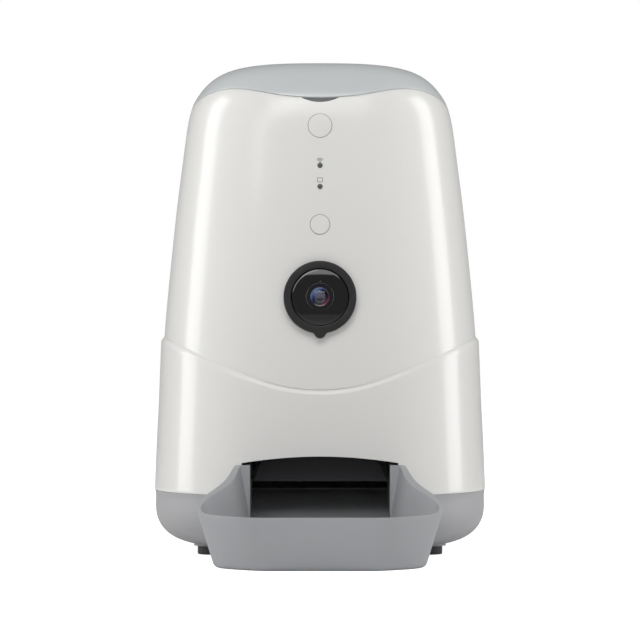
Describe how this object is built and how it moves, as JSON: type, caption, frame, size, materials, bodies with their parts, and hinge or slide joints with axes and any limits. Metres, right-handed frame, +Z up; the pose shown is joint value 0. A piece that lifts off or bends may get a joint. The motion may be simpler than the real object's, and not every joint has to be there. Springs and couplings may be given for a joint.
{
  "type": "pet feeder",
  "caption": "Countertop automatic pet feeder: rounded tower hopper with hinged lid, front camera and buttons, vane-wheel dispenser and a removable front food tray.",
  "frame": {"origin": "middle of the whole footprint, tray included, on the table the feet stand on", "axes": "+Z up; +Y from the front (tray, camera) to the rear (lid hinge, power inlet); +X to the right of a person facing the front"},
  "size_m": [0.2342, 0.3198, 0.3427],
  "materials": {
    "white_shell": "satin white",
    "lid_grey": "smooth light grey",
    "base_grey": "fine matt grey",
    "tray_grey": "fine matt grey",
    "black_plastic": "satin black",
    "dark_plastic": "matt dark grey",
    "inner_plastic": "matt",
    "clear_plastic": "clear",
    "lens_glass": "coated",
    "light_lens": "frosted",
    "steel": "bright",
    "rubber": "matt",
    "circuit_board": "solder mask",
    "gear_white": "natural"
  },
  "bodies": {
    "housing": {"lid_hinge_pin": "steel", "upper_casing": "white_shell", "lower_casing": "white_shell", "base": "base_grey", "rubber_feet": "rubber", "base_screws": "steel", "battery_box": "inner_plastic", "usb_inlet": "steel", "light_pipes": "light_lens", "control_board": "circuit_board", "camera_ring": "dark_plastic", "camera_window": "black_plastic", "lens_barrel": "black_plastic", "lens_glass": "lens_glass", "camera_board": "circuit_board", "hopper": "inner_plastic", "dispenser_drum": "inner_plastic", "portion_guard": "inner_plastic", "gear_motor": "steel", "chute": "dark_plastic", "deck": "inner_plastic", "main_board": "circuit_board", "speaker": "dark_plastic"},
    "lid": {"lid": "lid_grey", "lid_liner": "inner_plastic", "lid_gasket": "rubber", "lid_screws": "steel", "desiccant_cup": "inner_plastic"},
    "desiccant_cap": {"desiccant_cap": "dark_plastic"},
    "tray": {"tray": "tray_grey"},
    "rotor": {"vane_wheel": "rubber", "agitator": "gear_white", "drive_gear": "gear_white"},
    "pinion": {"motor_pinion": "gear_white", "motor_shaft": "steel"},
    "feed_button": {"feed_button": "white_shell"},
    "call_button": {"call_button": "white_shell"},
    "battery_door": {"battery_door": "base_grey"}
  },
  "joints": [
    {"name": "lid_hinge", "type": "hinge", "parent": "housing", "child": "lid", "pos_m": [0, 0.1367, 0.316], "axis": [-1, 0, 0], "range_deg": [0, 100]},
    {"name": "desiccant_cap_pull", "type": "slide", "parent": "lid", "child": "desiccant_cap", "axis": [0, 0, -1], "range_m": [0, 0.02]},
    {"name": "tray_slide", "type": "slide", "parent": "housing", "child": "tray", "axis": [0, -1, 0], "range_m": [0, 0.09]},
    {"name": "rotor_spin", "type": "hinge", "parent": "housing", "child": "rotor", "pos_m": [0, 0.0275, 0.097], "axis": [0, 0, 1], "continuous": true},
    {"name": "pinion_spin", "type": "hinge", "parent": "housing", "child": "pinion", "pos_m": [0, 0.0635, 0.097], "axis": [0, 0, 1], "continuous": true},
    {"name": "feed_button_press", "type": "slide", "parent": "housing", "child": "feed_button", "axis": [0, 1, 0], "range_m": [0, 0.001], "stiffness_N_per_m": 400},
    {"name": "call_button_press", "type": "slide", "parent": "housing", "child": "call_button", "axis": [0, 1, 0], "range_m": [0, 0.001], "stiffness_N_per_m": 400},
    {"name": "battery_door_pull", "type": "slide", "parent": "housing", "child": "battery_door", "axis": [0, 1, 0], "range_m": [0, 0.06]}
  ],
  "couplings": [
    {"joint": "pinion_spin", "follows": "rotor_spin", "ratio": -2}
  ]
}
